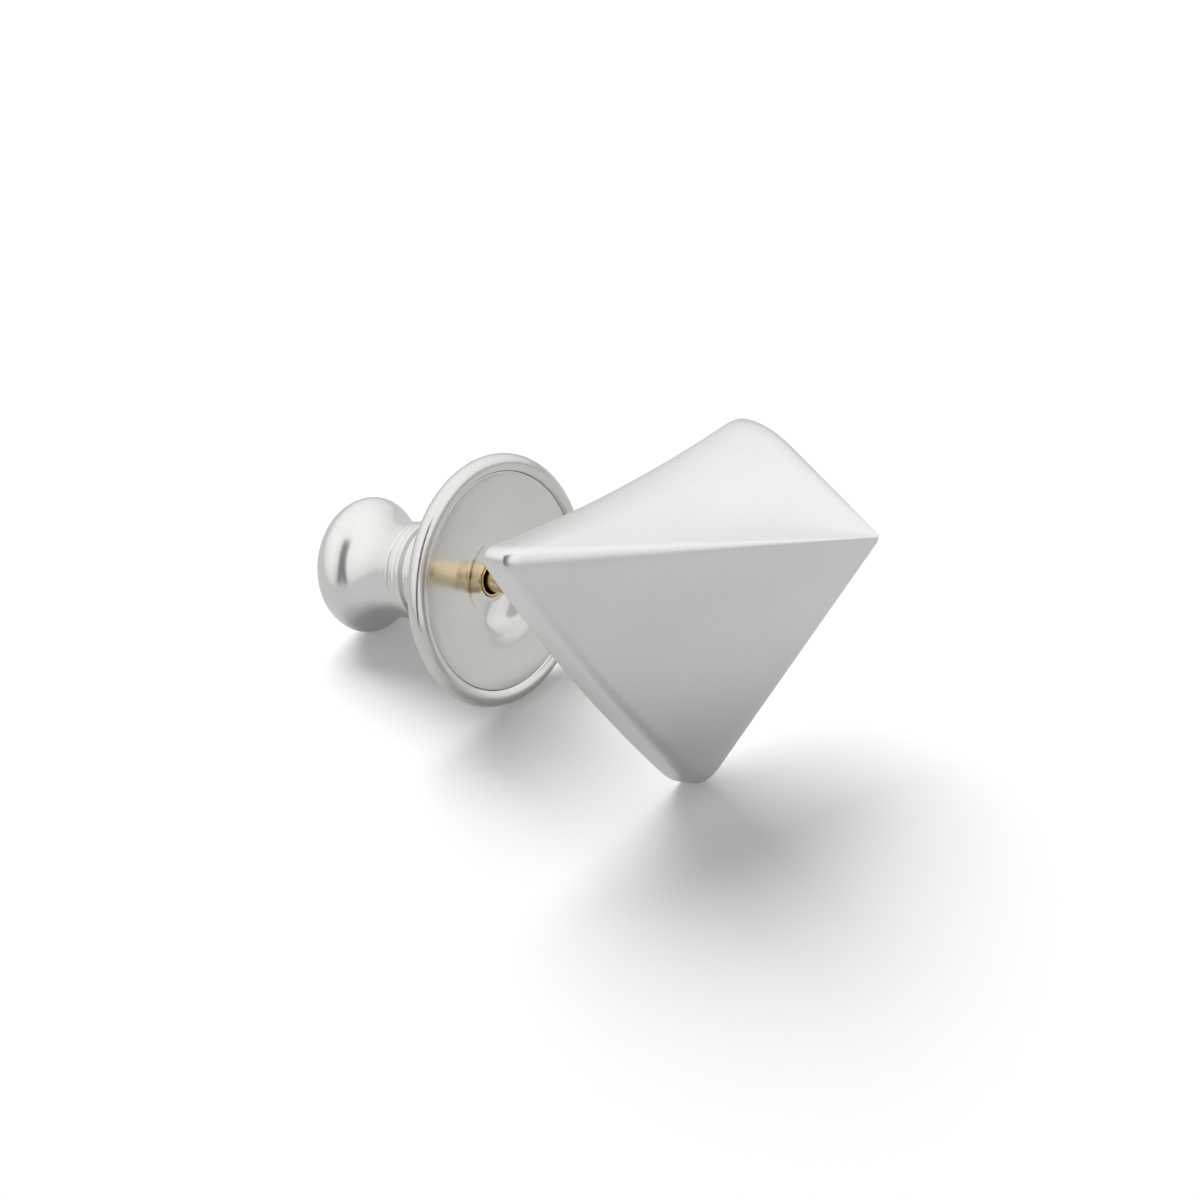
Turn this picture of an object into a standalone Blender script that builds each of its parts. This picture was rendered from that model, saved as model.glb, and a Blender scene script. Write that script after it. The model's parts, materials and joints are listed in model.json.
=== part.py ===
"""A tie tack: a faceted cast ornament on a pin, held by a ball-lock clutch with a bell-shaped pull.

The tack lies on a table on the clutch's rim and the ornament's lowest corner, with the pin running up
towards +X. Inside the empty "tack_axis", local Z runs along the pin from the clutch towards the ornament,
the clutch's face lies in the plane Z = 0, and local X points down towards the table.
"""

import math

import bmesh
import bpy
from mathutils import Matrix, Vector

MM = 0.001
OBJECT_NAME = "tie_tack"

# Pose on the table
TILT = math.radians(18.97)  # the pin's rise from the table towards the ornament
ORNAMENT_TURN = math.radians(55.86)  # the ornament's turn about the pin
FIT_GAP = 0.03 * MM  # between pieces that are pressed, crimped or soldered together

# Ornament: a rounded triangle seen from behind, with a short wall, rising to one point
BACK_Z = 7.4 * MM
WALL_HEIGHT = 1.35 * MM
CORNERS = (  # (x, y, rounding) of the back outline, anticlockwise, about the pin
    (-10.45 * MM, 0.97 * MM, 1.3 * MM),
    (4.3 * MM, -7.7 * MM, 2.2 * MM),
    (5.6 * MM, 8.5 * MM, 2.6 * MM),
)
SIDE_BULGE = (0.5 * MM, 0.0, -0.5 * MM)  # of the side that starts at each corner
APEX = Vector((5.85 * MM, 3.56 * MM, 14.2 * MM))
FACET_HOLLOW = 0.12 * MM
SHELL_SHARE = 0.84  # the hollow's size as a share of the outline
CORNER_STEPS = 6
SIDE_STEPS = 10
FACET_STEPS = 6

# Pin
POST_RADIUS = 0.50 * MM
POST_TIP_Z = -3.2 * MM
POST_CONE = 0.8 * MM
GROOVE_DEPTH = 0.07 * MM
GROOVES_Z = (-1.1 * MM, 0.9 * MM)
PLATE_THICKNESS = 0.6 * MM
PLATE_PROUD = 0.04 * MM  # the plate stands this far behind the casting
SEAT_RADIUS = 1.6 * MM  # of the shallow seat round the hole, that the boss sits in
SEAT_DEPTH = 0.05 * MM
BOSS_RADIUS = 1.3 * MM
BOSS_HEIGHT = 0.45 * MM
POST_HEAD_RADIUS = 0.8 * MM

# Clutch
DISC_RADIUS = 5.12 * MM
RIM_RADIUS = 0.4 * MM  # of the rolled bead round the disc
FACE_DROP = 0.12 * MM  # the face below the bead's top
SHEET = 0.32 * MM
DISH_RADIUS = 2.55 * MM
DISH_FLOOR_Z = -0.60 * MM
HOLE_RADIUS = 0.72 * MM
BUSH_BORE = 0.58 * MM
BUSH_FLANGE = 1.1 * MM
SLEEVE_RADIUS = 1.62 * MM
SLEEVE_TOP_Z = -1.33 * MM
SLEEVE_END_Z = -5.97 * MM
BARREL_RADIUS = 1.9 * MM
BARREL_END_Z = -4.50 * MM

# Ball lock
BALL_RADIUS = 0.30 * MM
BALL_COUNT = 3
BALL_Z = -2.2 * MM
BALL_PLAY = 0.01 * MM
CONE_SLOPE = 0.2  # the sleeve widens by this much for each unit away from the face
CAGE_BORE = 0.56 * MM
CAGE_FOOT_Z = -7.55 * MM
CAGE_RADIUS = 0.95 * MM
STEM_RADIUS = 0.85 * MM
SHOULDER_RADIUS = 1.2 * MM
SHOULDER_Z = -3.35 * MM
POCKET_RADIUS = 0.33 * MM
SPRING_RADIUS = 1.1 * MM
SPRING_WIRE = 0.1 * MM
SPRING_TURNS = 5
RING_THICKNESS = 0.25 * MM

# Pull knob
KNOB_MOUTH_Z = -4.56 * MM
KNOB_FLARE_Z = -6.2 * MM  # the hollow widens below this height
KNOB_FLOOR_Z = -7.78 * MM
KNOB_WALL = 0.28 * MM
KNOB_BORE = 1.66 * MM
CORE_Z = -6.7 * MM
CORE_THICKNESS = 0.5 * MM

SEGMENTS = 32
WIRE_STEPS = 12  # points in each turn of the spring

SATIN_SILVER = ("satin_silver", (0.83, 0.83, 0.81), 0.38, 1.0)
POLISHED_SILVER = ("polished_silver", (0.88, 0.88, 0.87), 0.22, 1.0)
GOLD_WIRE = ("gold_wire", (0.86, 0.68, 0.38), 0.28, 1.0)
BRASS = ("brass", (0.72, 0.55, 0.28), 0.35, 1.0)
STEEL = ("steel", (0.62, 0.62, 0.63), 0.25, 1.0)


def clear_scene():
    """Remove whatever the scene already holds."""
    for obj in list(bpy.data.objects):
        bpy.data.objects.remove(obj)


def new_collection(name):
    collection = bpy.data.collections.new(name)
    bpy.context.scene.collection.children.link(collection)
    return collection


def new_material(node_name, finish):
    """A metal for one sub-part, from a finish's name, colour, roughness and metallic value."""
    finish_name, colour, roughness, metallic = finish
    material = bpy.data.materials.new(f"{node_name}_{finish_name}")
    material.use_nodes = True
    shader = material.node_tree.nodes["Principled BSDF"]
    shader.inputs["Base Color"].default_value = (*colour, 1.0)
    shader.inputs["Roughness"].default_value = roughness
    shader.inputs["Metallic"].default_value = metallic
    return material


def new_empty(name, parent=None, location=(0, 0, 0)):
    empty = bpy.data.objects.new(name, None)
    empty.empty_display_size = 2 * MM
    parts.objects.link(empty)
    empty.parent = parent
    empty.location = location
    return empty


def add_part(name, mesh, finish, parent):
    """Make the mesh a named sub-part with its own material, under its body's empty."""
    obj = bpy.data.objects.new(name, mesh)
    parts.objects.link(obj)
    obj.parent = parent
    mesh.materials.clear()
    mesh.materials.append(new_material(name, finish))
    return obj


def shade_round(mesh, angle=math.radians(35)):
    mesh.shade_smooth()
    mesh.set_sharp_from_angle(angle=angle)


def arc(centre_r, centre_z, radius, start, end, steps):
    """Points (r, z) on an arc of a turned profile, with its angles in degrees from +X."""
    angles = [math.radians(start + (end - start) * i / steps) for i in range(steps + 1)]
    return [(centre_r + radius * math.cos(a), centre_z + radius * math.sin(a)) for a in angles]


def turned(name, profile, finish, parent, closed=True):
    """Turn a profile of (r, z) points about the pin's axis.

    The profile runs down its outer side. It is closed for a ring, and for a solid piece it starts and
    ends on the axis.
    """
    mesh = bpy.data.meshes.new(name)
    edges = [(i, i + 1) for i in range(len(profile) - 1)]
    if closed:
        edges.append((len(profile) - 1, 0))
    mesh.from_pydata([(r, 0, z) for r, z in profile], edges, [])
    obj = add_part(name, mesh, finish, parent)
    screw = obj.modifiers.new("turn", "SCREW")
    screw.steps = SEGMENTS
    screw.render_steps = SEGMENTS
    screw.use_merge_vertices = True
    screw.merge_threshold = 0.0005 * MM
    screw.use_smooth_shade = True
    return obj


def curve_point(start, control, end, t):
    """A point on the quadratic curve from start to end."""
    return (1 - t) ** 2 * start + 2 * t * (1 - t) * control + t * t * end


def side_point(start, end, bulge, share):
    """A point on a side that bows outwards by its bulge, halfway along."""
    along = end - start
    outward = Vector((along.y, -along.x, 0)).normalized()
    return start + along * share + outward * bulge * 4 * share * (1 - share)


def ornament_outline():
    """The rounded triangle as points with how far along their side they lie: 0 on corners, 1 halfway."""
    corners = [Vector((x, y, 0)) for x, y, _ in CORNERS]
    count = len(corners)
    outline = []
    for i, (_, _, rounding) in enumerate(CORNERS):
        before, corner, after = corners[i - 1], corners[i], corners[(i + 1) % count]
        cut_before = rounding / (corner - before).length
        cut_after = rounding / (after - corner).length
        into = side_point(before, corner, SIDE_BULGE[i - 1], 1 - cut_before)
        away = side_point(corner, after, SIDE_BULGE[i], cut_after)
        for step in range(CORNER_STEPS):
            outline.append((curve_point(into, corner, away, step / CORNER_STEPS), 0.0))
        cut_next = CORNERS[(i + 1) % count][2] / (after - corner).length
        for step in range(SIDE_STEPS):
            share = step / SIDE_STEPS
            place = cut_after + (1 - cut_next - cut_after) * share
            swell = math.sin(math.pi * share) ** 2
            outline.append((side_point(corner, after, SIDE_BULGE[i], place), swell))
    return outline


def ornament_rings(outline, scale, wall_levels, apex, hollow):
    """Rings of points up the wall, then up the three facets to just below the apex."""
    rings = []
    for z, inset in wall_levels:
        rings.append([point * (scale - inset) + Vector((0, 0, z)) for point, _ in outline])
    base_z, base_inset = wall_levels[-1]
    for step in range(1, FACET_STEPS + 1):
        rise = (step / (FACET_STEPS + 1)) ** 1.15
        ring = []
        for point, swell in outline:
            foot = point * (scale - base_inset) + Vector((0, 0, base_z))
            sag = Vector((0, 0, -hollow * swell * 4 * rise * (1 - rise)))
            ring.append(foot.lerp(apex, rise) + sag)
        rings.append(ring)
    return rings


def ornament_mesh():
    """One loft: up the outside to the point, and up the inside of the hollow to a point below it."""
    outline = ornament_outline()
    outside = ornament_rings(
        outline, 1.0,
        [
            (BACK_Z, 0.012),
            (BACK_Z + 0.12 * MM, 0.0),
            (BACK_Z + WALL_HEIGHT - 0.5 * MM, 0.0),
            (BACK_Z + WALL_HEIGHT - 0.25 * MM, 0.007),
            (BACK_Z + WALL_HEIGHT - 0.07 * MM, 0.025),
            (BACK_Z + WALL_HEIGHT, 0.05),
        ],
        APEX, FACET_HOLLOW,
    )
    foot = Vector((0, 0, BACK_Z + PLATE_THICKNESS))
    hollow_apex = foot.lerp(APEX, 0.72)
    inside = ornament_rings(
        outline, SHELL_SHARE,
        [(BACK_Z, 0.0), (BACK_Z + PLATE_THICKNESS + 0.15 * MM, 0.0)],
        hollow_apex, FACET_HOLLOW,
    )
    shape = bmesh.new()
    outside_rings = [[shape.verts.new(p) for p in ring] for ring in outside]
    inside_rings = [[shape.verts.new(p) for p in ring] for ring in inside]
    chain = list(reversed(outside_rings)) + inside_rings
    count = len(outline)
    for upper, lower in zip(chain, chain[1:]):
        for i in range(count):
            j = (i + 1) % count
            shape.faces.new((upper[i], lower[i], lower[j], upper[j]))
    for ring, tip in ((chain[0], shape.verts.new(APEX)), (chain[-1], shape.verts.new(hollow_apex))):
        for i in range(count):
            shape.faces.new((tip, ring[i], ring[(i + 1) % count]))
    bmesh.ops.recalc_face_normals(shape, faces=shape.faces)
    mesh = bpy.data.meshes.new("ornament")
    shape.to_mesh(mesh)
    shape.free()
    shade_round(mesh)
    return mesh


def back_plate_mesh():
    """A flat plate that closes the ornament's hollow, with a hole for the pin and a seat for its boss."""
    outline = [p * (SHELL_SHARE - 0.008) for p, _ in ornament_outline()]
    low_z = BACK_Z - PLATE_PROUD
    high_z = BACK_Z + PLATE_THICKNESS
    shape = bmesh.new()
    hole = [(POST_RADIUS + FIT_GAP) * p.normalized() for p in outline]
    seat = [SEAT_RADIUS * p.normalized() for p in outline]
    loops = (
        (outline, low_z),
        (outline, high_z),
        (hole, high_z),
        (hole, low_z + SEAT_DEPTH),
        (seat, low_z + SEAT_DEPTH),
        (seat, low_z),
    )
    rings = [[shape.verts.new(p + Vector((0, 0, z))) for p in loop] for loop, z in loops]
    count = len(outline)
    for ring, following in zip(rings, rings[1:] + rings[:1]):
        for i in range(count):
            j = (i + 1) % count
            shape.faces.new((ring[i], ring[j], following[j], following[i]))
    bmesh.ops.recalc_face_normals(shape, faces=shape.faces)
    mesh = bpy.data.meshes.new("back_plate")
    shape.to_mesh(mesh)
    shape.free()
    return mesh


def add_head(parent):
    """The ornament, the plate behind it, and the pin riveted through plate and boss."""
    add_part("ornament", ornament_mesh(), SATIN_SILVER, parent)
    add_part("back_plate", back_plate_mesh(), SATIN_SILVER, parent)
    boss_top = BACK_Z - PLATE_PROUD + SEAT_DEPTH - FIT_GAP
    bore = POST_RADIUS + FIT_GAP
    turned(
        "post_boss",
        [
            (BOSS_RADIUS, boss_top),
            (BOSS_RADIUS, boss_top - 0.15 * MM),
            (0.9 * MM, boss_top - BOSS_HEIGHT),
            (bore, boss_top - BOSS_HEIGHT),
            (bore, boss_top),
        ],
        GOLD_WIRE, parent,
    )
    head_z = BACK_Z + PLATE_THICKNESS + FIT_GAP
    profile = [(0, head_z + 0.35 * MM), (POST_HEAD_RADIUS, head_z + 0.35 * MM), (POST_HEAD_RADIUS, head_z)]
    profile.append((POST_RADIUS, head_z))
    for groove in sorted(GROOVES_Z, reverse=True):
        for offset, depth in ((0.15, 0), (0.07, 1), (-0.07, 1), (-0.15, 0)):
            profile.append((POST_RADIUS - depth * GROOVE_DEPTH, groove + offset * MM))
    profile.append((POST_RADIUS, POST_TIP_Z + POST_CONE))
    profile.append((0.32 * MM, POST_TIP_Z + 0.32 * MM))
    profile.append((0.12 * MM, POST_TIP_Z + 0.04 * MM))
    profile.append((0, POST_TIP_Z))
    turned("post", profile, GOLD_WIRE, parent, closed=False)


def add_guide(parent):
    """The brass bush that runs on the pin, and that the rest of the clutch turns on."""
    floor_z = DISH_FLOOR_Z - SHEET - FIT_GAP
    turned(
        "guide_bush",
        [
            (HOLE_RADIUS - FIT_GAP - 0.04 * MM, DISH_FLOOR_Z + 0.04 * MM),
            (HOLE_RADIUS - FIT_GAP, DISH_FLOOR_Z),
            (HOLE_RADIUS - FIT_GAP, floor_z),
            (BUSH_FLANGE, floor_z),
            (BUSH_FLANGE, SLEEVE_TOP_Z + FIT_GAP),
            (BUSH_BORE, SLEEVE_TOP_Z + FIT_GAP),
            (BUSH_BORE, DISH_FLOOR_Z),
            (BUSH_BORE + 0.04 * MM, DISH_FLOOR_Z + 0.04 * MM),
        ],
        BRASS, parent,
    )


def add_clutch(parent):
    """The disc, its barrel, and the fixed half of the lock inside it."""
    rim_r = DISC_RADIUS - RIM_RADIUS
    plate_r = rim_r - 0.18 * MM
    dish = [  # the face from the dish's edge in to the hole
        (DISH_RADIUS, -FACE_DROP),
        (DISH_RADIUS - 0.25 * MM, -0.22 * MM),
        (DISH_RADIUS - 0.68 * MM, -0.28 * MM),
        (DISH_RADIUS - 0.95 * MM, -0.44 * MM),
        (0.95 * MM, DISH_FLOOR_Z + 0.02 * MM),
        (HOLE_RADIUS, DISH_FLOOR_Z),
    ]
    turned(
        "face_plate",
        [(plate_r, -FACE_DROP), (plate_r, -FACE_DROP - SHEET)]
        + [(r, z - SHEET) for r, z in dish]
        + list(reversed(dish)),
        SATIN_SILVER, parent,
    )
    seat_z = -FACE_DROP - SHEET - FIT_GAP
    neck_r = SLEEVE_RADIUS + FIT_GAP
    turned(
        "rim_flange",
        arc(rim_r, -RIM_RADIUS, RIM_RADIUS, 112, -90, 8)
        + [
            (2.7 * MM, -1.0 * MM),
            (2.15 * MM, -1.12 * MM),
            (1.95 * MM, -1.30 * MM),
            (neck_r, -1.30 * MM),
            (neck_r, -0.80 * MM),
            (DISH_RADIUS - 0.68 * MM, -0.66 * MM),
            (DISH_RADIUS + 0.05 * MM, seat_z),
            (plate_r + FIT_GAP, seat_z),
        ],
        SATIN_SILVER, parent,
    )
    turned(
        "barrel",
        [
            (BARREL_RADIUS + 0.05 * MM, -1.33 * MM),
            (BARREL_RADIUS, -1.7 * MM),
            (BARREL_RADIUS, -3.78 * MM),
            (BARREL_RADIUS + 0.2 * MM, -3.86 * MM),
            (BARREL_RADIUS + 0.2 * MM, -4.10 * MM),
            (BARREL_RADIUS + 0.06 * MM, -4.16 * MM),
            (BARREL_RADIUS + 0.12 * MM, -4.24 * MM),
            (BARREL_RADIUS + 0.12 * MM, BARREL_END_Z),
            (neck_r, BARREL_END_Z),
            (neck_r, -1.33 * MM),
        ],
        POLISHED_SILVER, parent,
    )
    cone_foot_z = -3.4 * MM
    turned(
        "lock_sleeve",
        [
            (SLEEVE_RADIUS, -1.0 * MM),
            (SLEEVE_RADIUS, SLEEVE_END_Z),
            (cone_radius(cone_foot_z), SLEEVE_END_Z),
            (cone_radius(cone_foot_z), cone_foot_z),
            (cone_radius(SLEEVE_TOP_Z), SLEEVE_TOP_Z),
            (BUSH_FLANGE + FIT_GAP, SLEEVE_TOP_Z),
            (BUSH_FLANGE + FIT_GAP, -1.0 * MM),
        ],
        STEEL, parent,
    )
    ring_z = SLEEVE_END_Z - FIT_GAP
    turned(
        "spring_seat",
        [
            (SLEEVE_RADIUS, ring_z),
            (SLEEVE_RADIUS, ring_z - RING_THICKNESS),
            (STEM_RADIUS + 0.04 * MM, ring_z - RING_THICKNESS),
            (STEM_RADIUS + 0.04 * MM, ring_z),
        ],
        STEEL, parent,
    )


def ball_circle():
    """The balls' distance from the axis when they touch the pin."""
    return POST_RADIUS + BALL_PLAY + BALL_RADIUS


def cone_radius(z):
    """The taper's bore at this height: it clears a ball that touches the pin by the balls' play."""
    reach = (BALL_RADIUS + BALL_PLAY) * math.hypot(1, CONE_SLOPE)
    return ball_circle() + reach + CONE_SLOPE * (BALL_Z - z)


def add_spring(parent):
    """A compression spring round the stem, from the cage's shoulder to the ring at the sleeve's end."""
    curve = bpy.data.curves.new("spring", "CURVE")
    curve.dimensions = "3D"
    curve.bevel_depth = SPRING_WIRE
    curve.bevel_resolution = 2
    curve.use_fill_caps = True
    spline = curve.splines.new("POLY")
    points = SPRING_TURNS * WIRE_STEPS + 1
    spline.points.add(points - 1)
    top = SHOULDER_Z - SPRING_WIRE - FIT_GAP
    bottom = SLEEVE_END_Z + SPRING_WIRE
    for i, point in enumerate(spline.points):
        turn = 2 * math.pi * i / WIRE_STEPS
        z = top + (bottom - top) * i / (points - 1)
        point.co = (SPRING_RADIUS * math.cos(turn), SPRING_RADIUS * math.sin(turn), z, 1)
    add_part("spring", curve, STEEL, parent)


def add_pocket_cutters(parent):
    """One bar across the cage's wall for each ball."""
    for i in range(BALL_COUNT):
        bar = bmesh.new()
        bmesh.ops.create_cone(
            bar, cap_ends=True, segments=16, radius1=POCKET_RADIUS, radius2=POCKET_RADIUS, depth=1.0 * MM
        )
        outward = Matrix.Rotation(math.radians(90), 4, "Y")
        along = Matrix.Translation((0.9 * MM, 0, BALL_Z))
        bar.transform(Matrix.Rotation(ball_angle(i), 4, "Z") @ along @ outward)
        mesh = bpy.data.meshes.new("pocket_cutter")
        bar.to_mesh(mesh)
        bar.free()
        cutter = bpy.data.objects.new(f"pocket_cutter_{i + 1}", mesh)
        cutters.objects.link(cutter)
        cutter.parent = parent
        cutter.hide_render = True
        cutter.display_type = "WIRE"


def ball_angle(i):
    return math.radians(90) + 2 * math.pi * i / BALL_COUNT


def knob_outline():
    """The bell's outer side from its mouth, through its waist and bulb, to the rim of its end."""
    return [
        (1.90 * MM, KNOB_MOUTH_Z),
        (1.96 * MM, KNOB_MOUTH_Z - 0.06 * MM),
        (1.95 * MM, -4.90 * MM),
        (1.95 * MM, -5.45 * MM),
        (2.01 * MM, -5.78 * MM),
        (2.16 * MM, -6.08 * MM),
        (2.42 * MM, -6.38 * MM),
        (2.64 * MM, -6.68 * MM),
        (2.74 * MM, -6.98 * MM),
        (2.76 * MM, -7.24 * MM),
        (2.69 * MM, -7.55 * MM),
        (2.50 * MM, -7.88 * MM),
        (2.23 * MM, -8.10 * MM),
        (1.90 * MM, -8.17 * MM),
        (1.60 * MM, -8.12 * MM),
    ]


def add_plunger(parent):
    """What the fingers pull back: the bell, the plug in it, and the cage with its stem."""
    outline = knob_outline()
    inner = [(r - KNOB_WALL, z) for r, z in outline if KNOB_FLOOR_Z < z < KNOB_FLARE_Z]
    turned(
        "pull_knob",
        outline
        + [(0, KNOB_FLOOR_Z - 0.3 * MM), (0, KNOB_FLOOR_Z), (1.9 * MM, KNOB_FLOOR_Z)]
        + list(reversed(inner))
        + [(KNOB_BORE, KNOB_FLARE_Z + 0.3 * MM), (KNOB_BORE, KNOB_MOUTH_Z)],
        POLISHED_SILVER, parent,
    )
    turned(
        "knob_plug",
        [
            (2.2 * MM, CORE_Z - 0.1 * MM),
            (2.2 * MM, CORE_Z - CORE_THICKNESS),
            (STEM_RADIUS + FIT_GAP, CORE_Z - CORE_THICKNESS),
            (STEM_RADIUS + FIT_GAP, CORE_Z),
            (1.9 * MM, CORE_Z),
        ],
        BRASS, parent,
    )
    cage = turned(
        "ball_cage",
        [
            (CAGE_RADIUS, -1.75 * MM),
            (CAGE_RADIUS, -2.75 * MM),
            (STEM_RADIUS, -2.9 * MM),
            (STEM_RADIUS, SHOULDER_Z + 0.25 * MM),
            (SHOULDER_RADIUS, SHOULDER_Z + 0.25 * MM),
            (SHOULDER_RADIUS, SHOULDER_Z),
            (STEM_RADIUS, SHOULDER_Z),
            (STEM_RADIUS, CORE_Z - CORE_THICKNESS - FIT_GAP),
            (1.4 * MM, CORE_Z - CORE_THICKNESS - FIT_GAP),
            (1.4 * MM, CAGE_FOOT_Z),
            (CAGE_BORE, CAGE_FOOT_Z),
            (CAGE_BORE, -1.75 * MM),
        ],
        STEEL, parent,
    )
    add_pocket_cutters(parent)
    for cutter in cutters.objects:
        cut = cage.modifiers.new(f"cut_{cutter.name}", "BOOLEAN")
        cut.object = cutter
        cut.operation = "DIFFERENCE"
        cut.solver = "EXACT"


def add_ball(i, parent):
    shape = bmesh.new()
    bmesh.ops.create_uvsphere(shape, u_segments=14, v_segments=9, radius=BALL_RADIUS)
    mesh = bpy.data.meshes.new(f"lock_ball_{i + 1}")
    shape.to_mesh(mesh)
    shape.free()
    mesh.shade_smooth()
    ball = add_part(f"lock_ball_{i + 1}", mesh, STEEL, parent)
    angle = ball_angle(i)
    ball.location = (ball_circle() * math.cos(angle), ball_circle() * math.sin(angle), BALL_Z)


def world_box():
    """The lowest and highest corners of every sub-part as built."""
    bpy.context.view_layer.update()
    graph = bpy.context.evaluated_depsgraph_get()
    points = []
    for obj in parts.objects:
        if obj.type in ("MESH", "CURVE"):
            evaluated = obj.evaluated_get(graph)
            mesh = evaluated.to_mesh()
            points += [obj.matrix_world @ vertex.co for vertex in mesh.vertices]
            evaluated.to_mesh_clear()
    low = Vector([min(p[k] for p in points) for k in range(3)])
    high = Vector([max(p[k] for p in points) for k in range(3)])
    return low, high


def stand_on_table(axis):
    """Put the origin under the middle of the tack's box, on the surface that it lies on."""
    low, high = world_box()
    axis.location = (-(low.x + high.x) / 2, -(low.y + high.y) / 2, -low.z)
    bpy.context.view_layer.update()


def main():
    axis = new_empty("tack_axis")
    axis.rotation_euler = (0, math.pi / 2 - TILT, 0)
    head = new_empty("head_body", axis)
    head.rotation_euler = (0, 0, ORNAMENT_TURN)
    guide = new_empty("guide_body", axis)
    clutch = new_empty("clutch_body", guide)
    plunger = new_empty("plunger_body", clutch)
    add_head(head)
    add_guide(guide)
    add_clutch(clutch)
    add_spring(clutch)
    add_plunger(plunger)
    for i in range(BALL_COUNT):
        add_ball(i, plunger)
    stand_on_table(axis)


clear_scene()
parts = new_collection(OBJECT_NAME)
cutters = new_collection("cutters")
main()
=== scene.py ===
"""The looks of a tie tack: satin silver ornament and clutch, polished pull, gold-coloured pin.

Every visible piece is a fine mesh built about the pin's own axis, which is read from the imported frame. It
replaces its plain CAD node and rides on that node's body. The lock's inner pieces keep their CAD meshes
and get finishes of their own.
"""

import json
import logging
import math
from dataclasses import dataclass, field
from enum import Enum
from typing import Sequence

import bmesh
import bpy
from mathutils import Matrix, Vector


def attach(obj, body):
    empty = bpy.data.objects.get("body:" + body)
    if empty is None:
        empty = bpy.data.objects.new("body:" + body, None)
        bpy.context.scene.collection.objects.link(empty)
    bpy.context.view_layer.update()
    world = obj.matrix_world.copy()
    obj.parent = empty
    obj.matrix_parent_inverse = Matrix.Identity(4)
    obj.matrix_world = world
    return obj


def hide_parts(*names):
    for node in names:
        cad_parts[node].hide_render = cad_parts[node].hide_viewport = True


MM = 0.001
Profile = list[tuple[float, float]]
Colour = tuple[float, float, float]

log = logging.getLogger("tie_tack")
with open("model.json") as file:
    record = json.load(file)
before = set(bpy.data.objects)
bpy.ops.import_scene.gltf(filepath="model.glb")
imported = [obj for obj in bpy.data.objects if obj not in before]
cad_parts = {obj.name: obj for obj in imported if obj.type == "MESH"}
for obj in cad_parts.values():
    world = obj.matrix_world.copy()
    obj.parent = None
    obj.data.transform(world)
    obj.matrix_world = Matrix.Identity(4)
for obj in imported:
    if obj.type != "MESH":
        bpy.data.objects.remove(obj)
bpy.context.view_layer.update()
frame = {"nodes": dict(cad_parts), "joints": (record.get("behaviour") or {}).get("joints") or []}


class Body(Enum):
    """The rigid bodies of the tack."""

    HEAD = "head"
    GUIDE = "guide"
    CLUTCH = "clutch"
    PLUNGER = "plunger"


class Slot(Enum):
    """The record's material slots."""

    SATIN = "satin_silver"
    POLISHED = "polished_silver"
    GOLD = "gold_wire"
    BRASS = "brass"


class Edge(Enum):
    """How a turned piece's profile ends."""

    RING = "ring"
    SOLID = "solid"


# ---------------------------------------------------------------- the pin's axis


@dataclass(frozen=True)
class PinAxis:
    """The pin's place in the world: its origin on the clutch's face, and its direction to the ornament."""

    origin: Vector
    along: Vector

    @classmethod
    def from_frame(cls) -> "PinAxis":
        """Read the axis from the joint that the clutch spins on."""
        spin = next(joint for joint in frame["joints"] if joint["name"] == "clutch_spin")
        return cls(Vector(spin["pos_m"]), Vector(spin["axis"]).normalized())

    @property
    def matrix(self) -> Matrix:
        """The matrix from pin coordinates to the world. Local Z runs along the pin, local X points down."""
        side = Vector((0, 1, 0))
        down = side.cross(self.along).normalized()
        turn = Matrix((down, side, self.along)).transposed().to_4x4()
        return Matrix.Translation(self.origin) @ turn


PIN = PinAxis.from_frame()


# ---------------------------------------------------------------- mesh helpers


def mesh_object(name: str, shape: bmesh.types.BMesh, sharp_angle: float = 50.0) -> bpy.types.Object:
    """Place a shape built about the pin in the world, as a smooth-shaded object.

    Args:
        name: the piece's name.
        shape: its mesh in pin coordinates, which is freed.
        sharp_angle: edges that turn by more degrees than this stay sharp.

    Returns:
        The new object, linked to the scene.
    """
    bmesh.ops.recalc_face_normals(shape, faces=shape.faces)
    shape.transform(PIN.matrix)
    mesh = bpy.data.meshes.new(name)
    shape.to_mesh(mesh)
    shape.free()
    mesh.shade_smooth()
    mesh.set_sharp_from_angle(angle=math.radians(sharp_angle))
    obj = bpy.data.objects.new(name, mesh)
    bpy.context.scene.collection.objects.link(obj)
    return obj


def eased(points: Sequence[tuple[float, float, float]], steps: int = 5, closed: bool = True) -> Profile:
    """Round the corners of a turned profile.

    Args:
        points: (radius, height, rounding) of each corner; a rounding of 0 keeps the corner.
        steps: segments in each rounded corner.
        closed: whether the last corner joins the first.

    Returns:
        The profile's points with each corner replaced by a short curve.
    """
    corners = [Vector((r, z)) for r, z, _ in points]
    count = len(corners)
    profile: Profile = []
    for i, corner in enumerate(corners):
        rounding = points[i][2]
        at_end = not closed and i in (0, count - 1)
        if rounding == 0 or at_end:
            profile.append(tuple(corner))
            continue
        before = corners[i - 1] - corner
        after = corners[(i + 1) % count] - corner
        into = corner + before.normalized() * min(rounding, before.length * 0.49)
        away = corner + after.normalized() * min(rounding, after.length * 0.49)
        for step in range(steps + 1):
            t = step / steps
            profile.append(tuple((1 - t) ** 2 * into + 2 * t * (1 - t) * corner + t * t * away))
    return profile


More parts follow.
